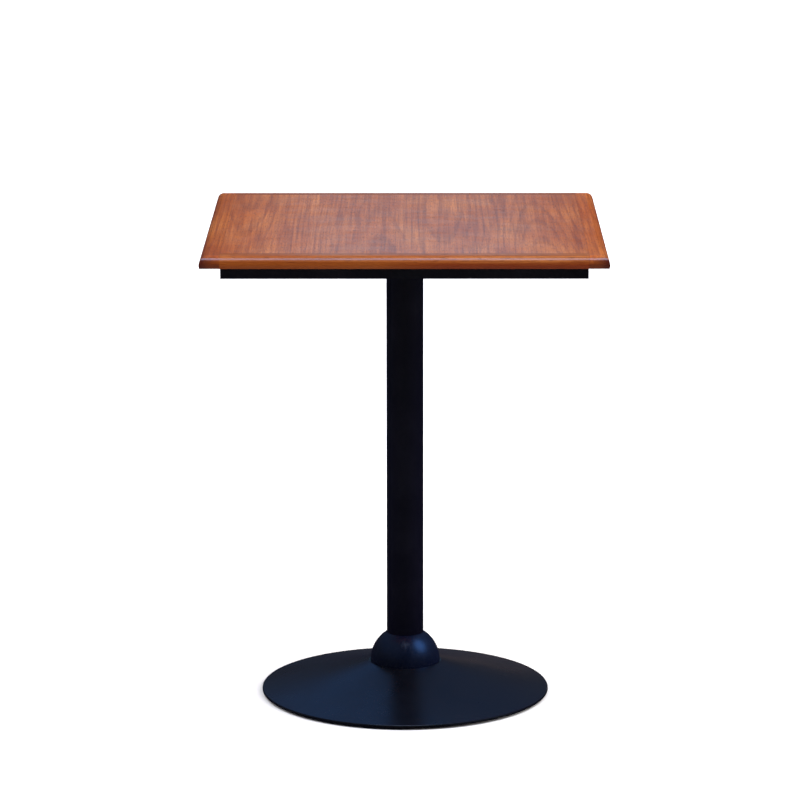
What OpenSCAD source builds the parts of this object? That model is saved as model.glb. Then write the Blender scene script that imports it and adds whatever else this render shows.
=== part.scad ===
// Square bistro table on a round weighted base.
// Millimetres. Origin at the centre of the footprint on the floor, +Z up, front towards -Y.
// A lipped wooden top is screwed to a welded angle frame. One threaded rod inside the column
// clamps the frame, the column and the base together. Four levelling glides carry the table.

/* [Table top] */
// Side length of the square top
top_size = 600; // [560:10:640]
// Thickness of the wooden top
top_thickness = 18; // [18:1:28]
// Height of the top's upper surface above the floor
table_height = 740; // [700:5:780]
// Width of the solid wood lippings round the core panel
lipping_width = 30; // [20:1:34]
// Radius of the rounded upper edge
edge_round = 13; // [4:0.5:13]
// Radius of the eased lower edge
edge_ease = 4; // [1:0.5:4]

/* [Steel underframe] */
// Distance from the edge of the top to the frame
frame_inset = 30; // [28:1:40]
// Leg length of the angle rails
rail_leg = 20; // [20:1:25]
// Wall thickness of the angle rails
rail_wall = 3; // [2.5:0.5:4]
// Width of each cross tube
cross_width = 30; // [25:1:35]
// Height of each cross tube
cross_height = 15; // [14:1:16]
// Wall thickness of the cross tubes
cross_wall = 1.5; // [1:0.5:2]
// Distance between the centre lines of the two cross tubes
cross_spacing = 104; // [96:2:110]
// Side length of the square head plate
plate_size = 150; // [146:2:180]
// Thickness of the head plate
plate_thickness = 5; // [4:1:8]
// Corner radius of the head plate
plate_corner = 10; // [4:1:20]
// Length of the spigot that centres the column's head
spigot_length = 28; // [15:1:40]
// Wall thickness of that spigot
spigot_wall = 2; // [1.5:0.5:3]

/* [Wood screws] */
// Screws in each rail
screws_per_rail = 3; // [2:1:5]
// Distance from a rail's middle to its outermost screws
screw_reach = 200; // [150:5:230]
// Shank diameter
screw_shank = 4; // [3.5:0.5:4.5]
// Length below the head
screw_length = 16; // [12:1:17]
// Head diameter
screw_head = 8; // [7:0.5:9]
// Head height
screw_head_height = 2.6; // [2:0.2:3]

/* [Column] */
// Outside diameter of the column tube
column_diameter = 57; // [50:1:60]
// Wall thickness of the column tube
column_wall = 1.5; // [1.2:0.1:2.5]
// Height of the plug that centres the column's foot
plug_height = 12; // [8:1:30]

/* [Tie rod] */
// Diameter of the rod
rod_diameter = 12; // [10:1:12]
// Rod length showing past each nut
rod_overrun = 2.5; // [1:0.5:3]
// Nut width across flats
nut_width = 19; // [17:1:19]
// Nut height
nut_height = 10; // [8:1:10]
// Washer thickness
washer_thickness = 2.5; // [2:0.5:3]
// Diameter of the upper washer
upper_washer = 36; // [24:1:60]
// Diameter of the lower washer
lower_washer = 44; // [30:1:50]

/* [Base] */
// Outside diameter of the base
base_diameter = 446; // [430:2:460]
// Height of the flat seat under the dome
seat_height = 49; // [47:1:55]
// Height of the rim's upper edge
rim_height = 8; // [7.5:0.5:9]
// Gap between the rim and the floor
rim_gap = 4; // [3.5:0.5:4.5]
// Rounding of the rim
rim_round = 2; // [1.5:0.5:2.5]
// Sheet thickness of the base cover
cover_wall = 1.5; // [1:0.1:1.6]
// Half the angle through which the cover's hollow slope bends
slope_bend = 3; // [1:0.5:4]
// Distance the ballast keeps in from the rim
ballast_inset = 10; // [8:1:20]
// Height of the ballast's underside above the floor
ballast_low = 5.5; // [5.5:0.1:6]
// Diameter of the pocket for the lower nut
pocket_diameter = 60; // [54:1:80]
// Height of that pocket's ceiling above the floor
pocket_ceiling = 25; // [24:1:28]

/* [Dome] */
// Outside diameter of the dome
dome_diameter = 108; // [90:2:110]
// Sheet thickness of the dome
dome_wall = 1.5; // [1:0.1:2]
// Gap between the dome and the column
dome_gap = 0.3; // [0.2:0.1:0.6]

/* [Levelling glides] */
// Distance from the base's edge to each glide's axis
glide_inset = 55; // [52:1:65]
// Diameter of each pad
pad_diameter = 28; // [24:1:32]
// Thickness of each pad
pad_thickness = 3.2; // [3.2:0.1:3.4]
// Diameter of each threaded stud
stud_diameter = 8; // [6:1:8]
// Height of each stud's upper end above the floor
stud_top = 14.5; // [12:0.5:14.5]
// Width across flats of each stud's hexagon
stud_hex = 13; // [12:1:16]

/* [Hidden] */
$fn = 96;
// Facets of a hexagon
hex = 6;
// Distance a cutting solid runs past the surface it cuts
past = 1;
// Radial play of a thread in its hole
play = 0.06;
// Radial room round a bolt or screw in a clearance hole
room = 0.3;
// Radial gap round a spigot in the column tube
spigot_gap = 0.2;
// Chamfer on nuts, rods and heads
chamfer = 0.8;

top_low = table_height - top_thickness;
core_size = top_size - 2 * lipping_width;

frame_size = top_size - 2 * frame_inset;
rail_low = top_low - rail_leg;
leg_low = top_low - rail_wall;
cross_low = leg_low - cross_height;
cross_length = frame_size - 2 * rail_wall;
plate_low = cross_low - plate_thickness;
screw_line = frame_size / 2 - (rail_leg + rail_wall) / 2;
screw_step = 2 * screw_reach / (screws_per_rail - 1);
screw_tip = 3;
cross_slot = [0.9, 4.4, 1.3];

column_bore = column_diameter / 2 - column_wall;
spigot_radius = column_bore - spigot_gap;
rod_radius = rod_diameter / 2;
rod_hole = rod_radius + room;

upper_nut_low = cross_low + washer_thickness;
lower_nut_low = pocket_ceiling - washer_thickness - nut_height;
rod_low = lower_nut_low - rod_overrun;
rod_high = upper_nut_low + nut_height + rod_overrun;

base_radius = base_diameter / 2;
rim_radius = base_radius - rim_round;
dome_radius = dome_diameter / 2;
seat_ledge = 2;
seat_radius = dome_radius + seat_ledge;
// The slope's two ends, the outer one a little below the rim's rounding
slope_drop = 0.2;
slope_in = [seat_radius, seat_height];
slope_out = [rim_radius, rim_height - slope_drop];
slope_chord = norm(slope_out - slope_in);
slope_up = [slope_in[1] - slope_out[1], slope_out[0] - slope_in[0]] / slope_chord;
slope_radius = slope_chord / (2 * sin(slope_bend));
slope_centre = (slope_in + slope_out) / 2 + slope_up * slope_radius * cos(slope_bend);
slope_facets = 720;
ballast_gap = 0.5;
ballast_seat = 45;

glide_circle = base_radius - glide_inset;
glide_angles = [225, 315, 45, 135];
stud_radius = stud_diameter / 2;
foot_radius = 6;
foot_low = 1.2;
foot_high = 2.4;
lip_low = 2.5;
// Play of the stud's foot and hexagon above and below
foot_play = 0.1;
hex_low = pad_thickness + foot_play;
hex_high = ballast_low - room;
pad_radius = pad_diameter / 2;
pad_chamfer = 0.6;

wood_front = [0.46, 0.19, 0.08];
wood_core = [0.62, 0.27, 0.12];
black_steel = [0.05, 0.05, 0.06];
base_black = [0.10, 0.12, 0.16];
zinc = [0.72, 0.73, 0.75];
iron = [0.24, 0.24, 0.25];
nylon = [0.12, 0.12, 0.12];

// ---- Shared shapes ----

module disc(radius, low, high) {
    translate([0, 0, low])
        cylinder(r = radius, h = high - low);
}

// A box centred on the Z axis in X and Y
module block(size_x, size_y, low, high) {
    translate([-size_x / 2, -size_y / 2, low])
        cube([size_x, size_y, high - low]);
}

// A hexagon prism with chamfered corners
module hexagon(width, low, high) {
    corner = width / 2 / cos(30);
    intersection() {
        translate([0, 0, low])
            cylinder(r = corner, h = high - low, $fn = hex);
        rotate_extrude()
            polygon([
                [0, low], [width / 2, low],
                [corner + chamfer, low + chamfer], [corner + chamfer, high - chamfer],
                [width / 2, high], [0, high]
            ]);
    }
}

// A round bar with a chamfer at its upper end
module stud_bar(radius, low, high) {
    disc(radius, low, high - chamfer);
    translate([0, 0, high - chamfer])
        cylinder(r1 = radius, r2 = radius - chamfer, h = chamfer);
}

// ---- Wooden top ----

// Cross-section of the top: rounded above, eased below
module top_section() {
    half = top_size / 2;
    translate([-half + edge_round, 0])
        square([top_size - 2 * edge_round, top_thickness]);
    for (side = [-1, 1]) {
        translate([side * (half - edge_round), top_thickness - edge_round])
            circle(edge_round);
        translate([side * (half - edge_ease), edge_ease])
            circle(edge_ease);
    }
    translate([-half, edge_ease])
        square([top_size, top_thickness - edge_round - edge_ease]);
    translate([-half + edge_ease, 0])
        square([top_size - 2 * edge_ease, edge_ease]);
}

module top_bar() {
    translate([0, top_size / 2, top_low])
        rotate([90, 0, 0])
            linear_extrude(top_size)
                top_section();
}

module top_blank() {
    intersection() {
        top_bar();
        rotate([0, 0, 90])
            top_bar();
    }
}

module lipping_front() {
    color(wood_front)
        intersection() {
            top_blank();
            translate([-core_size / 2, -top_size / 2, top_low])
                cube([core_size, lipping_width, top_thickness]);
        }
}

module lipping_rear() {
    rotate([0, 0, 180])
        lipping_front();
}

module lipping_left() {
    color(wood_front)
        intersection() {
            top_blank();
            translate([-top_size / 2, -top_size / 2, top_low])
                cube([lipping_width, top_size, top_thickness]);
        }
}

module lipping_right() {
    rotate([0, 0, 180])
        lipping_left();
}

// Puts its child at every screw of all four rails
module at_screws() {
    for (turn = [0:90:270], i = [0:screws_per_rail - 1])
        rotate([0, 0, turn])
            translate([i * screw_step - screw_reach, -screw_line, 0])
                children();
}

module top_panel() {
    color(wood_core)
        difference() {
            block(core_size, core_size, top_low, table_height);
            at_screws()
                disc(screw_shank / 2 + play, top_low - past, leg_low + screw_length + past);
        }
}

// ---- Steel underframe ----

// One angle rail: flat leg on top and turned in, ends mitred; turn takes it from the front
module rail(turn) {
    half = frame_size / 2;
    color(black_steel)
        rotate([0, 0, turn])
            difference() {
                translate([0, 0, rail_low])
                    linear_extrude(rail_leg)
                        polygon([
                            [-half, -half], [half, -half],
                            [half - rail_leg, rail_leg - half], [rail_leg - half, rail_leg - half]
                        ]);
                translate([-half - past, rail_wall - half, rail_low - past])
                    cube([frame_size + 2 * past, rail_leg, rail_leg - rail_wall + past]);
                for (i = [0:screws_per_rail - 1])
                    translate([i * screw_step - screw_reach, -screw_line, 0])
                        disc(screw_shank / 2 + room, leg_low - past, top_low + past);
            }
}

// One of the two cross tubes; side is -1 for the front one and 1 for the rear one
module cross_tube(side) {
    color(black_steel)
        translate([0, side * cross_spacing / 2, 0])
            difference() {
                block(cross_length, cross_width, cross_low, leg_low);
                block(cross_length + 2 * past, cross_width - 2 * cross_wall,
                    cross_low + cross_wall, leg_low - cross_wall);
            }
}

module head_plate() {
    straight = plate_size - 2 * plate_corner;
    color(black_steel)
        difference() {
            union() {
                block(plate_size, straight, plate_low, cross_low);
                block(straight, plate_size, plate_low, cross_low);
                for (x = [-1, 1], y = [-1, 1])
                    translate([x * straight / 2, y * straight / 2, 0])
                        disc(plate_corner, plate_low, cross_low);
            }
            disc(rod_hole, plate_low - past, cross_low + past);
        }
}

module head_spigot() {
    color(black_steel)
        difference() {
            disc(spigot_radius, plate_low - spigot_length, plate_low);
            disc(spigot_radius - spigot_wall, plate_low - spigot_length - past, plate_low + past);
        }
}

module screw() {
    difference() {
        rotate_extrude()
            polygon([
                [0, leg_low - screw_head_height],
                [screw_head / 2 - chamfer, leg_low - screw_head_height],
                [screw_head / 2, leg_low - screw_head_height + chamfer],
                [screw_head / 2, leg_low],
                [screw_shank / 2, leg_low],
                [screw_shank / 2, leg_low + screw_length - screw_tip],
                [0, leg_low + screw_length]
            ]);
        for (turn = [0, 90])
            rotate([0, 0, turn])
                block(cross_slot[0], cross_slot[1], leg_low - screw_head_height - past,
                    leg_low - screw_head_height + cross_slot[2]);
    }
}

module wood_screws() {
    color(zinc)
        at_screws()
            screw();
}

// ---- Column and tie rod ----

module column_tube() {
    color(black_steel)
        difference() {
            disc(column_diameter / 2, seat_height, plate_low);
            disc(column_bore, seat_height - past, plate_low + past);
        }
}

module foot_plug() {
    color(nylon)
        difference() {
            disc(spigot_radius, seat_height, seat_height + plug_height);
            disc(rod_hole, seat_height - past, seat_height + plug_height + past);
        }
}

module tie_rod() {
    middle = (rod_low + rod_high) / 2;
    color(zinc) {
        stud_bar(rod_radius, middle, rod_high);
        translate([0, 0, 2 * middle])
            mirror([0, 0, 1])
                stud_bar(rod_radius, middle, rod_high);
    }
}

module washer(diameter, low) {
    color(zinc)
        difference() {
            disc(diameter / 2, low, low + washer_thickness);
            disc(rod_hole, low - past, low + washer_thickness + past);
        }
}

module nut(low) {
    color(zinc)
        difference() {
            hexagon(nut_width, low, low + nut_height);
            disc(rod_radius + play, low - past, low + nut_height + past);
        }
}

// ---- Base ----

// Half section of the base's outline, every surface moved in by skin
module base_outline(skin, low) {
    difference() {
        union() {
            translate([0, low])
                square([rim_radius, seat_height - skin - low]);
            translate([rim_radius, rim_height - rim_round])
                circle(rim_round - skin);
            translate([rim_radius - past, low])
                square([rim_round - skin + past, rim_height - rim_round - low]);
        }
        translate(slope_centre)
            circle(slope_radius + skin, $fn = slope_facets);
    }
}

module base_cover() {
    color(base_black)
        difference() {
            rotate_extrude()
                base_outline(0, rim_gap);
            rotate_extrude()
                base_outline(cover_wall, rim_gap - past);
            disc(rod_hole, rim_gap, seat_height + past);
        }
}

module ballast() {
    reach = base_radius - ballast_inset;
    color(iron)
        difference() {
            union() {
                intersection() {
                    rotate_extrude()
                        base_outline(cover_wall + ballast_gap, ballast_low);
                    disc(reach, ballast_low, seat_height);
                }
                disc(ballast_seat, ballast_low, seat_height - cover_wall);
            }
            disc(pocket_diameter / 2, ballast_low - past, pocket_ceiling);
            disc(rod_hole, ballast_low - past, seat_height + past);
            for (turn = glide_angles)
                rotate([0, 0, turn])
                    translate([glide_circle, 0, 0])
                        disc(stud_radius + play, ballast_low - past, seat_height);
        }
}

module dome_cover() {
    inner = column_diameter / 2 + dome_gap;
    color(base_black)
        translate([0, 0, seat_height])
            rotate_extrude()
                intersection() {
                    difference() {
                        circle(dome_radius);
                        circle(dome_radius - dome_wall);
                    }
                    translate([inner, 0])
                        square([dome_radius, dome_radius]);
                }
}

// ---- Levelling glides ----

module glide_pad(number) {
    color(nylon)
        rotate([0, 0, glide_angles[number - 1]])
            translate([glide_circle, 0, 0])
                difference() {
                    rotate_extrude()
                        polygon([
                            [0, 0], [pad_radius - pad_chamfer, 0],
                            [pad_radius, pad_chamfer], [pad_radius, pad_thickness - pad_chamfer],
                            [pad_radius - pad_chamfer, pad_thickness], [0, pad_thickness]
                        ]);
                    disc(foot_radius + play, foot_low - foot_play, lip_low);
                    disc(stud_radius + play, foot_low, pad_thickness + past);
                }
}

module glide_stud(number) {
    color(zinc)
        rotate([0, 0, glide_angles[number - 1]])
            translate([glide_circle, 0, 0]) {
                disc(foot_radius, foot_low, foot_high);
                stud_bar(stud_radius, foot_low, stud_top);
                hexagon(stud_hex, hex_low, hex_high);
            }
}

top_panel();
lipping_front();
lipping_rear();
lipping_left();
lipping_right();
rail(0);  // rail_front
rail(180);  // rail_rear
rail(270);  // rail_left
rail(90);  // rail_right
cross_tube(-1);  // cross_tube_front
cross_tube(1);  // cross_tube_rear
head_plate();
head_spigot();
wood_screws();
column_tube();
foot_plug();
tie_rod();
washer(upper_washer, cross_low);
nut(upper_nut_low);  // upper_nut
washer(lower_washer, pocket_ceiling - washer_thickness);
nut(lower_nut_low);  // lower_nut
dome_cover();
base_cover();
ballast();
glide_pad(1);  // glide_pad_1
glide_pad(2);  // glide_pad_2
glide_pad(3);  // glide_pad_3
glide_pad(4);  // glide_pad_4
glide_stud(1);  // glide_stud_1
glide_stud(2);  // glide_stud_2
glide_stud(3);  // glide_stud_3
glide_stud(4);  // glide_stud_4
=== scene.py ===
"""Bistro table: looks, stage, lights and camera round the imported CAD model.

Metres, in the CAD model's frame: +Z up, the front towards -Y, the floor at z = 0.
"""

import math

import bmesh
import bpy
from mathutils import Matrix, Vector


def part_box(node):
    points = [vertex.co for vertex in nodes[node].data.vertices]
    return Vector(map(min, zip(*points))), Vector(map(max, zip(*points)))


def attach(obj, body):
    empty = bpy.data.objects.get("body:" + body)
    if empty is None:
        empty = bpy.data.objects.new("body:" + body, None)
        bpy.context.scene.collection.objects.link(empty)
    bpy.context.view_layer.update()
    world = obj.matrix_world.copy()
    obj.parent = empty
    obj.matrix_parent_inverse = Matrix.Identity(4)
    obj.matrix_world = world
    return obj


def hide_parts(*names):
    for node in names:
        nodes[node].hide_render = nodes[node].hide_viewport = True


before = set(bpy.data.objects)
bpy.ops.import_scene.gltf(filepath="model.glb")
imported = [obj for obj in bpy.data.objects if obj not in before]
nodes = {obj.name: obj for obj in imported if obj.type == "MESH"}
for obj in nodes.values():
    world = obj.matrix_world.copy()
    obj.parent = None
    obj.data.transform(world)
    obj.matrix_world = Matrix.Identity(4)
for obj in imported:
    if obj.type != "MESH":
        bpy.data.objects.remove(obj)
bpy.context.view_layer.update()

MM = 0.001
GLIDES = range(1, 5)

# Sizes read off the frame
top_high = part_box("top_panel")[1].z
core_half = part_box("top_panel")[1].x
top_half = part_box("lipping_right")[1].x

# ---- Node graphs ----


class Graph:
    """A node tree, with short calls for the nodes that the materials and the world use."""

    def __init__(self, owner, output_kind):
        owner.use_nodes = True
        self.tree = owner.node_tree
        self.tree.nodes.clear()
        self.output = self.tree.nodes.new(output_kind)

    def add(self, kind, sockets=None, **settings):
        """A node with its settings; sockets maps an input to a value or to the socket that feeds it."""
        node = self.tree.nodes.new(kind)
        for key, value in settings.items():
            setattr(node, key, value)
        for key, value in (sockets or {}).items():
            self.feed(node.inputs[key], value)
        return node

    def feed(self, socket, value):
        if isinstance(value, bpy.types.NodeSocket):
            self.tree.links.new(value, socket)
        else:
            socket.default_value = value

    def finish(self, shader):
        self.tree.links.new(shader.outputs[0], self.output.inputs[0])

    def calculate(self, operation, a, b=0.0, clamp=False):
        node = self.add("ShaderNodeMath", {0: a, 1: b}, operation=operation, use_clamp=clamp)
        return node.outputs[0]

    def plus(self, a, b):
        return self.calculate("ADD", a, b)

    def minus(self, a, b):
        return self.calculate("SUBTRACT", a, b)

    def times(self, a, b):
        return self.calculate("MULTIPLY", a, b)

    def absolute(self, a):
        return self.calculate("ABSOLUTE", a)

    def ramp(self, factor, stops):
        """A colour ramp from (position, colour) stops, or (position, grey) ones."""
        node = self.add("ShaderNodeValToRGB", {"Fac": factor})
        elements = node.color_ramp.elements
        while len(elements) < len(stops):
            elements.new(0.5)
        for element, (position, colour) in zip(elements, stops):
            rgb = colour if isinstance(colour, tuple) else (colour, colour, colour)
            element.position = position
            element.color = (*rgb, 1.0)
        return node.outputs["Color"]

    def mix(self, factor, a, b, blend="MIX"):
        """Colour a with b laid over it; a and b are colours or sockets."""
        node = self.add("ShaderNodeMix", data_type="RGBA", blend_type=blend)
        inputs = {socket.identifier: socket for socket in node.inputs}
        self.feed(inputs["Factor_Float"], factor)
        for name, colour in (("A_Color", a), ("B_Color", b)):
            self.feed(inputs[name], (*colour, 1.0) if isinstance(colour, tuple) else colour)
        return next(socket for socket in node.outputs if socket.identifier == "Result_Color")

    def scale(self, factor, start, end, low, high):
        """factor stretched so that start to end becomes low to high, and held there outside them."""
        return self.add("ShaderNodeMapRange", {"Value": factor, 1: start, 2: end, 3: low, 4: high}).outputs[0]

    def place(self):
        return self.add("ShaderNodeTexCoord").outputs["Object"]

    def noise(self, place, scale, detail):
        node = self.add("ShaderNodeTexNoise", {"Vector": place, "Scale": scale, "Detail": detail})
        return node.outputs["Fac"]

    def bump(self, height, strength, distance):
        node = self.add("ShaderNodeBump", {"Strength": strength, "Distance": distance, "Height": height})
        return node.outputs[0]


def new_material(name):
    """An empty node material and its graph."""
    material = bpy.data.materials.new(name)
    return material, Graph(material, "ShaderNodeOutputMaterial")


# ---- Wood ----

WOOD_PALE = (0.545, 0.178, 0.038)
WOOD_MID = (0.440, 0.120, 0.019)
WOOD_DEEP = (0.345, 0.078, 0.010)
WOOD_LATE = (0.170, 0.032, 0.005)
# Painted shade: the dark browns that upright faces turn to
WOOD_UPRIGHT_SHADE = (0.155, 0.029, 0.001)
WOOD_UPRIGHT_SHADE_RED = (0.115, 0.012, 0.001)
WOOD_END = (0.055, 0.009, 0.004)
WOOD_PORE = (0.060, 0.013, 0.005)

# Picks the boards, and how far along the log they may come from
BOARD_SEED, LOG_REACH = 7.3, 9.0
RINGS_PER_METRE = 165.0
# How far the pith wanders, how far to a board's side it may lie, and how deep under the top
PITH_DRIFT = 80 * MM
PITH_SIDE = 160 * MM
PITH_LEAST_DEPTH, PITH_DEPTH_RANGE = 35 * MM, 90 * MM
# How fast the painted shade on upright faces turns redder along the grain
REDDER_PER_METRE = 1.3
# How far in from the corners the upright faces darken further, and how strong that is there
CORNER_REACH, CORNER_STRENGTH = 14 * MM, 0.8
# End grain's share of its stain where the core ends, and at the outer edge
END_AT_CORE, END_AT_EDGE = 0.30, 1.25
# The lacquer's surface: its waves' depth and strength, and how far streaks rise and pores sink in it
FILM_DEPTH, FILM_STRENGTH = 0.8 * MM, 0.35
STREAK_RELIEF, PORE_RELIEF = 0.10, 0.03
LACQUER_ROUGHNESS = 0.09


class Log:
    """Where each point of a piece lies in the log that its boards were cut from."""

    def __init__(self, graph, along, board_width):
        self.graph = graph
        axes = graph.add("ShaderNodeSeparateXYZ", {0: graph.place()}).outputs
        self.length, self.width, self.height = axes[along], axes[1 - along], axes[2]

        # Each board is cut from another part of the log
        board = graph.calculate("FLOOR", graph.calculate("DIVIDE", self.width, board_width))
        seed = graph.add("ShaderNodeTexWhiteNoise", {"W": graph.plus(board, BOARD_SEED)},
                         noise_dimensions="1D")
        self.seeds = graph.add("ShaderNodeSeparateColor", {0: seed.outputs["Color"]}).outputs
        middle = graph.times(graph.plus(board, 0.5), board_width)
        self.across = graph.minus(self.width, middle)
        self.along = graph.plus(self.length, graph.times(self.seeds[0], LOG_REACH))

    def noise(self, keep, scale, detail):
        """Noise whose length is scaled by keep, so that its features run along the grain."""
        stretched = self.graph.add("ShaderNodeCombineXYZ", {
            0: self.across, 1: self.graph.times(self.along, keep), 2: self.height}).outputs[0]
        return self.graph.noise(stretched, scale, detail)

    def late_wood(self):
        """Dark bands of growth rings round a pith that lies under the board and wanders along it."""
        graph = self.graph
        drift = graph.times(graph.minus(self.noise(0.20, 5.0, 2.0), 0.5), PITH_DRIFT)
        pith_side = graph.times(graph.minus(self.seeds[1], 0.5), PITH_SIDE)
        pith_depth = graph.plus(PITH_LEAST_DEPTH, graph.times(self.noise(0.30, 2.2, 1.0), PITH_DEPTH_RANGE))
        side = graph.plus(graph.plus(self.across, pith_side), drift)
        depth = graph.plus(graph.minus(self.height, top_high), pith_depth)
        radius = graph.calculate("SQRT", graph.plus(graph.times(side, side), graph.times(depth, depth)))
        share = graph.calculate("FRACT", graph.times(radius, RINGS_PER_METRE))
        return graph.ramp(share, [(0.0, 0.05), (0.55, 0.2), (0.84, 1.0), (0.92, 0.8), (1.0, 0.05)])


def figure(graph, log, streak, pore, shade):
    """The colour of the wood's face."""
    cloud = log.noise(0.30, 14.0, 5.0)
    fibre = log.noise(0.012, 620.0, 2.0)
    tone = graph.ramp(cloud, [(0.32, WOOD_DEEP), (0.5, WOOD_MID), (0.68, WOOD_PALE)])
    tone = graph.mix(graph.ramp(log.seeds[2], [(0.0, 0.0), (1.0, 0.35)]), tone, WOOD_DEEP)
    tone = graph.mix(graph.times(log.late_wood(), 0.40), tone, WOOD_LATE)
    tone = graph.mix(graph.ramp(streak, [(0.36, 0.38), (0.50, 0.0)]), tone, WOOD_LATE)
    tone = graph.mix(graph.ramp(streak, [(0.52, 0.0), (0.70, 0.30)]), tone, WOOD_PALE)
    tone = graph.mix(graph.ramp(fibre, [(0.35, 0.38), (0.55, 0.0)]), tone, WOOD_LATE)
    tone = graph.mix(graph.times(pore, 0.60), tone, WOOD_PORE)
    # shade gives a board's own tone, with painted shade on the left lipping and painted light on the right
    # one
    return graph.mix(1.0, tone, (shade, shade, shade), "MULTIPLY")


def stain_and_painted_shade(graph, log, along, tone):
    """Painted shade on upright faces, redder towards one end; end grain takes the most staining, and upright
    faces darken further near the corners.
    """
    normal = graph.add("ShaderNodeNewGeometry").outputs["Normal"]
    facing = graph.add("ShaderNodeSeparateXYZ", {0: normal}).outputs
    # Painted shade: the more upright a face, the more its colour turns to dark brown
    upright = graph.ramp(facing[2], [(0.1, 0.85), (0.65, 0.0)])
    redder = graph.plus(log.noise(0.5, 3.0, 2.0), graph.times(log.length, REDDER_PER_METRE))
    upright_shade_tone = graph.mix(graph.ramp(redder, [(0.42, 0.0), (0.58, 1.0)]), WOOD_UPRIGHT_SHADE, WOOD_UPRIGHT_SHADE_RED)
    tone = graph.mix(upright, tone, upright_shade_tone)

    end_grain = graph.ramp(graph.absolute(facing[along]), [(0.25, 0.0), (0.85, 0.90)])
    to_corner = graph.scale(graph.absolute(log.width), core_half, top_half, END_AT_CORE, END_AT_EDGE)
    end_grain = graph.calculate("MULTIPLY", end_grain, to_corner, clamp=True)
    # Upright faces darken further near the piece's ends
    near_end = graph.scale(graph.absolute(log.length), top_half - CORNER_REACH, top_half,
                           0.0, CORNER_STRENGTH)
    dark = graph.calculate("MAXIMUM", end_grain, graph.times(upright, near_end))
    return graph.mix(dark, tone, WOOD_END)


def glue_lines(graph, log, tone):
    """Fine dark lines round the core."""
    for place in (log.length, log.width):
        off = graph.absolute(graph.minus(graph.absolute(place), core_half))
        line = graph.ramp(graph.times(off, 1 / MM), [(0.15, 0.45), (0.5, 0.0)])
        tone = graph.mix(line, tone, WOOD_PORE)
    return tone


def wood(name, along, board_width, shade, gloss, coat):
    """Stained and lacquered hardwood.

    along is the grain's axis, 0 for X and 1 for Y. shade multiplies the face's colour: a board's own
    tone, and on the side lippings painted shade on the left one and painted light on the right one.
    gloss is the wood's own, and coat is how much the lacquer adds.
    """
    material, graph = new_material(name)
    log = Log(graph, along, board_width)
    streak = log.noise(0.016, 190.0, 3.0)
    pore = graph.ramp(log.noise(0.05, 1300.0, 1.0), [(0.0, 1.0), (0.34, 1.0), (0.42, 0.0), (1.0, 0.0)])
    tone = figure(graph, log, streak, pore, shade)
    tone = glue_lines(graph, log, stain_and_painted_shade(graph, log, along, tone))

    # The lacquer sinks a little into the pores, and its film has slow waves
    film = graph.noise(graph.place(), 20.0, 3.0)
    relief = graph.plus(film, graph.times(streak, STREAK_RELIEF))
    relief = graph.minus(relief, graph.times(pore, PORE_RELIEF))
    bump = graph.bump(relief, FILM_STRENGTH, FILM_DEPTH)
    rough = graph.ramp(graph.noise(graph.place(), 11.0, 5.0), [(0.3, 0.30), (0.7, 0.46)])
    graph.finish(graph.add("ShaderNodeBsdfPrincipled", {
        "Base Color": tone, "Roughness": rough, "Normal": bump, "Specular IOR Level": gloss,
        "Coat Weight": coat, "Coat Roughness": LACQUER_ROUGHNESS, "Coat Normal": bump}))
    return material


# ---- Metal and plastic ----

ROUGHNESS_SPREAD = 0.05
DUST_GAIN, DUST_GREY = 2.2, 0.002
PEEL_DEPTH = 0.2 * MM
FINE_DEPTH = 0.1 * MM
SAND_DEPTH = 0.6 * MM


def paint(name, colour, roughness, specular, peel):
    """Black powder coat: fine orange peel, uneven gloss, a little dust."""
    material, graph = new_material(name)
    grain = graph.noise(graph.place(), 180.0, 2.0)
    cloud = graph.noise(graph.place(), 14.0, 4.0)
    rough = graph.ramp(cloud, [(0.3, roughness - ROUGHNESS_SPREAD), (0.7, roughness + ROUGHNESS_SPREAD)])
    dusty = tuple(DUST_GAIN * channel + DUST_GREY for channel in colour)
    tone = graph.mix(graph.ramp(cloud, [(0.45, 0.0), (0.8, 0.35)]), colour, dusty)
    graph.finish(graph.add("ShaderNodeBsdfPrincipled", {
        "Base Color": tone, "Roughness": rough, "Normal": graph.bump(grain, peel, PEEL_DEPTH),
        "Specular IOR Level": specular}))
    return material


def plated(name):
    """Zinc plating: grey, slightly yellow, with blotches."""
    material, graph = new_material(name)
    blotch = graph.noise(graph.place(), 220.0, 5.0)
    tone = graph.ramp(blotch, [(0.3, (0.40, 0.41, 0.43)), (0.7, (0.66, 0.66, 0.64))])
    rough = graph.ramp(blotch, [(0.3, 0.24), (0.7, 0.42)])
    graph.finish(graph.add("ShaderNodeBsdfPrincipled", {
        "Base Color": tone, "Roughness": rough, "Metallic": 1.0,
        "Normal": graph.bump(blotch, 0.15, FINE_DEPTH)}))
    return material


def cast(name):
    """Sand-cast iron under dark primer."""
    material, graph = new_material(name)
    sand = graph.noise(graph.place(), 420.0, 6.0)
    patch = graph.noise(graph.place(), 26.0, 4.0)
    tone = graph.ramp(patch, [(0.3, (0.020, 0.020, 0.021)), (0.7, (0.060, 0.054, 0.050))])
    graph.finish(graph.add("ShaderNodeBsdfPrincipled", {
        "Base Color": tone, "Roughness": 0.72, "Normal": graph.bump(sand, 0.7, SAND_DEPTH)}))
    return material


def moulded(name):
    """Black nylon with a fine moulded grain and pale scuffs."""
    material, graph = new_material(name)
    grain = graph.noise(graph.place(), 1500.0, 2.0)
    scuff = graph.noise(graph.place(), 130.0, 5.0)
    tone = graph.ramp(scuff, [(0.5, (0.012, 0.012, 0.012)), (0.75, (0.045, 0.045, 0.045))])
    graph.finish(graph.add("ShaderNodeBsdfPrincipled", {
        "Base Color": tone, "Roughness": 0.55, "Normal": graph.bump(grain, 0.3, FINE_DEPTH)}))
    return material


def dress(material, *names):
    """Gives CAD nodes their material."""
    for name in names:
        slots = nodes[name].data.materials
        slots.clear()
        slots.append(material)


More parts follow.
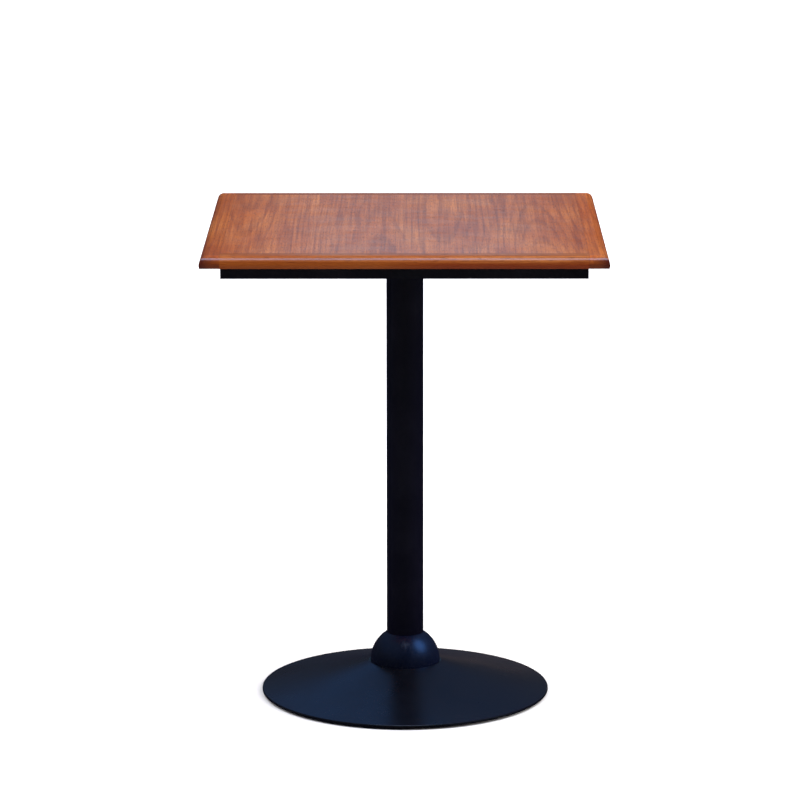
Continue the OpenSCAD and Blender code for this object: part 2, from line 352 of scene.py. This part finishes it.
dress(wood("wood_core", along=1, board_width=135 * MM, shade=1.0, gloss=0.25, coat=0.8),
      "top_panel")
# Painted shade darkens the left lipping, and painted light brightens the right one a little
dress(wood("wood_left_lipping_painted_shade", along=1, board_width=120 * MM, shade=0.84, gloss=0.15, coat=0.6),
      "lipping_left")
dress(wood("wood_right_lipping_painted_light", along=1, board_width=120 * MM, shade=1.03, gloss=0.15, coat=0.6),
      "lipping_right")
dress(wood("wood_front_lipping", along=0, board_width=250 * MM, shade=0.64, gloss=0.12, coat=0.55),
      "lipping_front", "lipping_rear")

frame_black = paint("frame_black", (0.0023, 0.0021, 0.0064), roughness=0.42, specular=0.30, peel=0.15)
zinc = plated("zinc_plated")

dress(frame_black, "rail_front", "rail_rear", "rail_left", "rail_right",
      "cross_tube_front", "cross_tube_rear", "head_plate", "head_spigot")
dress(paint("column_black", (0.0021, 0.0019, 0.0066), roughness=0.40, specular=0.30, peel=0.12),
      "column_tube")
dress(paint("dome_black", (0.0013, 0.0025, 0.0092), roughness=0.36, specular=0.50, peel=0.06),
      "dome_cover")
dress(paint("base_black", (0.0017, 0.0019, 0.0037), roughness=0.30, specular=0.55, peel=0.06),
      "base_cover")
dress(zinc, "wood_screws", "tie_rod", "upper_washer", "upper_nut",
      "lower_washer", "lower_nut", *[f"glide_stud_{i}" for i in GLIDES])
dress(cast("cast_iron"), "ballast")
dress(moulded("black_nylon"), "foot_plug", *[f"glide_pad_{i}" for i in GLIDES])

# ---- Mesh helpers ----


def ring(axis, height, radius, sides):
    """Points round a vertical axis; radius is a number or a function of the angle."""
    points = []
    for i in range(sides):
        angle = 2 * math.pi * i / sides
        reach = radius(angle) if callable(radius) else radius
        points.append((axis[0] + reach * math.cos(angle), axis[1] + reach * math.sin(angle), height))
    return points


def shell(mesh, rings):
    """Adds a closed skin over rings of points, each with the same number of points."""
    loops = [[mesh.verts.new(point) for point in points] for points in rings]
    for low, high in zip(loops, loops[1:]):
        for i in range(len(low)):
            j = (i + 1) % len(low)
            mesh.faces.new((low[i], low[j], high[j], high[i]))
    mesh.faces.new(list(reversed(loops[0])))
    mesh.faces.new(loops[-1])


def make_piece(name, build, material, body):
    """A new piece from build(mesh), riding on a CAD body."""
    mesh = bmesh.new()
    build(mesh)
    bmesh.ops.recalc_face_normals(mesh, faces=mesh.faces)
    data = bpy.data.meshes.new(name)
    mesh.to_mesh(data)
    mesh.free()
    data.materials.append(material)
    piece = bpy.data.objects.new(name, data)
    bpy.context.scene.collection.objects.link(piece)
    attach(piece, body)
    return piece


def smooth(piece, angle):
    """Rounds the shading across edges flatter than angle, in degrees."""
    for face in piece.data.polygons:
        face.use_smooth = True
    piece.data.set_sharp_from_angle(angle=math.radians(angle))


# ---- Threads ----

THREAD_SIDES = 32
STEPS_PER_TURN = 8
# Shares of the pitch: the thread's depth, half the crest's width and a flank's width
THREAD_DEPTH, CREST_HALF, FLANK = 0.6134, 0.0625, 0.3125
RUN_OUT_TURNS = 2
HEXAGON_SIDES = 36
# How far one shell runs into the next
OVERLAP = 0.2 * MM

STUD_RADIUS, STUD_PITCH = 4.0 * MM, 1.25 * MM
STUD_FLATS, HEX_LOW, HEX_HIGH, HEX_CHAMFER = 13.0 * MM, 3.3 * MM, 5.2 * MM, 0.4 * MM
FOOT_RADIUS, FOOT_HIGH = 6.0 * MM, 2.4 * MM
ROD_RADIUS, ROD_PITCH = 6.0 * MM, 1.75 * MM
ROD_THREAD_LOW, ROD_THREAD_HIGH = 60.0 * MM, 40.0 * MM


def ridge(turns):
    """Depth of a metric thread as a share of its full depth: flat crest, straight flank, flat root."""
    phase = turns - math.floor(turns)
    distance = min(phase, 1.0 - phase)
    return min(1.0, max(0.0, (distance - CREST_HALF) / FLANK))


def thread_rings(axis, low, high, radius, pitch, fade_low=False, fade_high=False):
    """Rings of a right-handed metric thread.

    fade_low and fade_high run it out into a plain shank; an end that doesn't fade is chamfered.
    """
    depth = THREAD_DEPTH * pitch
    root = radius - depth
    run_out = RUN_OUT_TURNS * pitch
    count = round((high - low) / pitch * STEPS_PER_TURN)
    rings = []
    for step in range(count + 1):
        height = low + (high - low) * step / count
        cut, limit = depth, radius
        for fades, from_end in ((fade_low, height - low), (fade_high, high - height)):
            if fades:
                cut *= min(1.0, from_end / run_out)
            else:
                limit = min(limit, root + from_end)
        rings.append(ring(axis, height, lambda angle: min(
            limit, radius - cut * ridge(height / pitch - angle / (2 * math.pi))), THREAD_SIDES))
    return rings


def hexagon_rings(axis, low, high, across_flats, chamfer):
    """Rings of a hexagon whose corners are turned back at both ends."""
    inner = across_flats / 2
    corner = inner / math.cos(math.pi / 6)

    def section(height, limit):
        def reach(angle):
            to_flat = (angle % (math.pi / 3)) - math.pi / 6
            return min(limit, inner / math.cos(to_flat))
        return ring(axis, height, reach, HEXAGON_SIDES)
    return [section(low, inner), section(low + chamfer, corner),
            section(high - chamfer, corner), section(high, inner)]


def make_stud(number):
    """A glide's stud: a foot that turns in the pad, a hexagon and an M8 thread."""
    node = f"glide_stud_{number}"
    low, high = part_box(node)
    axis = ((low.x + high.x) / 2, (low.y + high.y) / 2)

    def build(mesh):
        shell(mesh, [ring(axis, low.z, FOOT_RADIUS, THREAD_SIDES),
                     ring(axis, FOOT_HIGH, FOOT_RADIUS, THREAD_SIDES)])
        shell(mesh, [ring(axis, FOOT_HIGH - OVERLAP, STUD_RADIUS, THREAD_SIDES),
                     ring(axis, HEX_LOW + OVERLAP, STUD_RADIUS, THREAD_SIDES)])
        shell(mesh, hexagon_rings(axis, HEX_LOW, HEX_HIGH, STUD_FLATS, HEX_CHAMFER))
        shell(mesh, thread_rings(axis, HEX_HIGH - OVERLAP, high.z, STUD_RADIUS, STUD_PITCH,
                                 fade_low=True))

    stud = make_piece(f"threaded_stud_{number}", build, zinc, node)
    smooth(stud, 35.0)
    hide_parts(node)


def make_rod():
    """The M12 tie rod, threaded at both ends."""
    low, high = (corner.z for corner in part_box("tie_rod"))
    axis = (0.0, 0.0)
    rings = thread_rings(axis, low, low + ROD_THREAD_LOW, ROD_RADIUS, ROD_PITCH, fade_high=True)
    rings += thread_rings(axis, high - ROD_THREAD_HIGH, high, ROD_RADIUS, ROD_PITCH, fade_low=True)
    rod = make_piece("threaded_rod", lambda mesh: shell(mesh, rings), zinc, "table")
    smooth(rod, 35.0)
    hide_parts("tie_rod")


for number in GLIDES:
    make_stud(number)
make_rod()

# ---- Welds ----

RAIL_WALL = 3.0 * MM
# The beads between a cross tube and the head plate run between these distances from the middle
WELD_NEAR, WELD_FAR = 25.0 * MM, 60.0 * MM
# How far a bead stops short of a corner
WELD_GAP = 1.5 * MM
BEAD_RADIUS, BEAD_RIPPLE = 2.0 * MM, 1.6 * MM
BEAD_SIDES, RINGS_PER_RIPPLE, FEWEST_RIPPLES = 12, 3, 4
# Shares of the bead's radius: between ripples, what a ripple adds, and the square of the tips' share
BEAD_WAIST, BEAD_SWELL, BEAD_TIP = 0.86, 0.14, 0.08
RIPPLE_START = 0.4


def bead(mesh, start, end):
    """A rippled weld bead with rounded ends."""
    start, end = Vector(start), Vector(end)
    run = end - start
    along = run.normalized()
    side = along.orthogonal().normalized()
    other = along.cross(side)
    count = max(FEWEST_RIPPLES, round(run.length / BEAD_RIPPLE)) * RINGS_PER_RIPPLE
    rings = []
    for step in range(count + 1):
        share = step / count
        from_end = min(share, 1.0 - share) * run.length
        ripple = abs(math.sin(math.pi * step / RINGS_PER_RIPPLE + RIPPLE_START))
        taper = math.sqrt(min(1.0, BEAD_TIP + from_end / BEAD_RADIUS))
        reach = BEAD_RADIUS * (BEAD_WAIST + BEAD_SWELL * ripple) * taper
        centre = start + run * share
        angles = [2 * math.pi * i / BEAD_SIDES for i in range(BEAD_SIDES)]
        rings.append([centre + reach * (math.cos(a) * side + math.sin(a) * other) for a in angles])
    shell(mesh, rings)


def weld_mitre(mesh, x, y):
    """The two beads inside one corner of the rails; x and y are the corner's signs."""
    low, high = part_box("rail_right")
    inner = high.x - RAIL_WALL
    under = high.z - RAIL_WALL
    outer_end, inner_end = inner - WELD_GAP, low.x + WELD_GAP
    bead(mesh, (x * inner, y * inner, low.z + WELD_GAP), (x * inner, y * inner, under - WELD_GAP))
    bead(mesh, (x * outer_end, y * outer_end, under), (x * inner_end, y * inner_end, under))


def weld_tube(mesh, tube):
    """The beads at one cross tube's ends and along its outer side on the head plate."""
    low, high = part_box(tube)
    for x in (low.x, high.x):
        bead(mesh, (x, low.y + WELD_GAP, low.z), (x, high.y - WELD_GAP, low.z))
        for y in (low.y, high.y):
            bead(mesh, (x, y, low.z + WELD_GAP), (x, y, high.z - WELD_GAP))
    outer = low.y if low.y < 0 else high.y
    for x in (-1, 1):
        bead(mesh, (x * WELD_NEAR, outer, low.z), (x * WELD_FAR, outer, low.z))


def build_welds(mesh):
    """Beads in the corners where the underframe's pieces meet."""
    for x in (-1, 1):
        for y in (-1, 1):
            weld_mitre(mesh, x, y)
    for tube in ("cross_tube_front", "cross_tube_rear"):
        weld_tube(mesh, tube)


smooth(make_piece("weld_beads", build_welds, frame_black, "table"), 60.0)

# ---- Stage and surroundings ----

FLOOR_HALF = 60.0
WALL = (0.12, 0.45, 0.66)
SCREEN = (0.010, 0.010, 0.012)
# The sky's colour from straight down, 0, over the horizon, 0.5, to straight up, 1
SKY = [(0.00, (0.02, 0.02, 0.04)), (0.44, (0.02, 0.02, 0.04)), (0.50, (0.030, 0.033, 0.055)),
       (0.56, (0.036, 0.040, 0.055)), (0.62, (0.050, 0.058, 0.08)), (0.70, (0.06, 0.09, 0.18)),
       (0.83, (0.07, 0.13, 0.29)), (0.93, (0.10, 0.14, 0.22)), (1.00, (0.10, 0.13, 0.18))]


def make_floor():
    """A large pale floor, which the gloss doesn't show."""
    half = FLOOR_HALF
    mesh = bpy.data.meshes.new("floor")
    mesh.from_pydata([(-half, -half, 0), (half, -half, 0), (half, half, 0), (-half, half, 0)], [],
                     [(0, 1, 2, 3)])
    floor = bpy.data.objects.new("floor", mesh)
    bpy.context.scene.collection.objects.link(floor)
    material, graph = new_material("floor_white")
    tone = graph.ramp(graph.noise(graph.place(), 1.5, 3.0), [(0.3, 0.78), (0.7, 0.80)])
    graph.finish(graph.add("ShaderNodeBsdfPrincipled", {
        "Base Color": tone, "Roughness": 0.9, "Specular IOR Level": 0.0}))
    mesh.materials.append(material)
    floor.visible_glossy = False


def make_world():
    """What the gloss shows, while the camera itself sees plain white.

    Blue sky over dark surroundings, a pale wall far behind the table and a dark screen in front of it.
    """
    world = bpy.data.worlds.new("studio")
    graph = Graph(world, "ShaderNodeOutputWorld")
    way = graph.add("ShaderNodeTexCoord").outputs["Generated"]
    right, back, up = graph.add("ShaderNodeSeparateXYZ", {0: way}).outputs
    sky = graph.ramp(graph.times(graph.plus(up, 1.0), 0.5), SKY)

    def card(half, across, upwards):
        """How much of a card on one half of the horizon shows, from its ramps across and upwards."""
        shape = graph.times(graph.ramp(graph.absolute(right), across), graph.ramp(up, upwards))
        return graph.times(graph.calculate(half, back, 0.0), shape)

    wall = card("GREATER_THAN", [(0.022, 1.0), (0.046, 0.0)], [
        (0.08, 0.0), (0.152, 0.25), (0.163, 0.50), (0.175, 1.0), (0.21, 1.0), (0.27, 0.0)])
    screen = card("LESS_THAN", [(0.26, 0.85), (0.42, 0.0)], [(0.76, 1.0), (0.86, 0.0)])
    sky = graph.mix(screen, graph.mix(wall, sky, WALL), SCREEN)

    glow = graph.add("ShaderNodeBackground", {"Color": sky, "Strength": 1.0})
    plain = graph.add("ShaderNodeBackground", {"Color": (1.0, 1.0, 1.0, 1.0), "Strength": 1.1})
    seen = graph.add("ShaderNodeLightPath").outputs["Is Camera Ray"]
    graph.finish(graph.add("ShaderNodeMixShader", {0: seen, 1: glow.outputs[0], 2: plain.outputs[0]}))
    bpy.context.scene.world = world


# ---- Lights ----

SUNLIGHT = (1.0, 0.95, 0.90)


def make_sun(name, towards, strength, angle, colour, in_gloss=True, only=None):
    """A soft distant light.

    towards is the direction from the table to the light, angle its width in degrees, in_gloss whether
    reflections show it, and only the one node that it lights.
    """
    data = bpy.data.lights.new(name, "SUN")
    data.energy = strength
    data.angle = math.radians(angle)
    data.color = colour
    sun = bpy.data.objects.new(name, data)
    sun.rotation_mode = "QUATERNION"
    sun.rotation_quaternion = Vector(towards).to_track_quat("Z", "Y")
    sun.visible_glossy = in_gloss
    bpy.context.scene.collection.objects.link(sun)
    if only:
        lit = bpy.data.collections.new(name + "_lit")
        lit.objects.link(nodes[only])
        sun.light_linking.receiver_collection = lit


def make_lights():
    """Two broad lights that the gloss doesn't show, and smaller, bluer or fainter ones that it does."""
    make_sun("key", towards=(0.75, -0.06, 0.75), strength=4.7, angle=80.0, colour=SUNLIGHT,
             in_gloss=False)
    make_sun("fill", towards=(-0.55, 0.10, 0.85), strength=3.0, angle=80.0, colour=SUNLIGHT,
             in_gloss=False)
    make_sun("sky_patch", towards=(0.69, -0.15, 0.70), strength=1.5, angle=34.0,
             colour=(0.12, 0.34, 1.0), only="dome_cover")
    make_sun("sky_band", towards=(0.0, -0.20, 0.98), strength=1.3, angle=28.0,
             colour=(0.50, 0.66, 1.0))
    make_sun("sky_left", towards=(-0.16, 0.80, 0.58), strength=0.035, angle=24.0,
             colour=(0.10, 0.36, 1.0), only="base_cover")
    make_sun("haze", towards=(0.05, 1.0, 0.05), strength=0.0032, angle=12.0,
             colour=(1.0, 0.72, 0.62), only="base_cover")


# ---- Camera ----

SENSOR_WIDTH, FOCAL_LENGTH = 36.0, 184.05
CAMERA_PLACE = (0.0146, -6.1664, 1.7750)
PITCH_DOWN, TURN_LEFT, ROLL = 0.2096, 0.0036, -0.0010


def make_camera():
    """A long lens in front of the table, looking down at it."""
    data = bpy.data.cameras.new("camera")
    data.sensor_width = SENSOR_WIDTH
    data.lens = FOCAL_LENGTH
    data.clip_end = 200.0
    camera = bpy.data.objects.new("camera", data)
    turn = (Matrix.Rotation(TURN_LEFT, 4, "Z") @ Matrix.Rotation(math.pi / 2 - PITCH_DOWN, 4, "X")
            @ Matrix.Rotation(ROLL, 4, "Z"))
    camera.matrix_world = Matrix.Translation(CAMERA_PLACE) @ turn
    bpy.context.scene.collection.objects.link(camera)
    bpy.context.scene.camera = camera


make_floor()
make_world()
make_lights()
make_camera()
bpy.context.scene.view_settings.view_transform = "Standard"
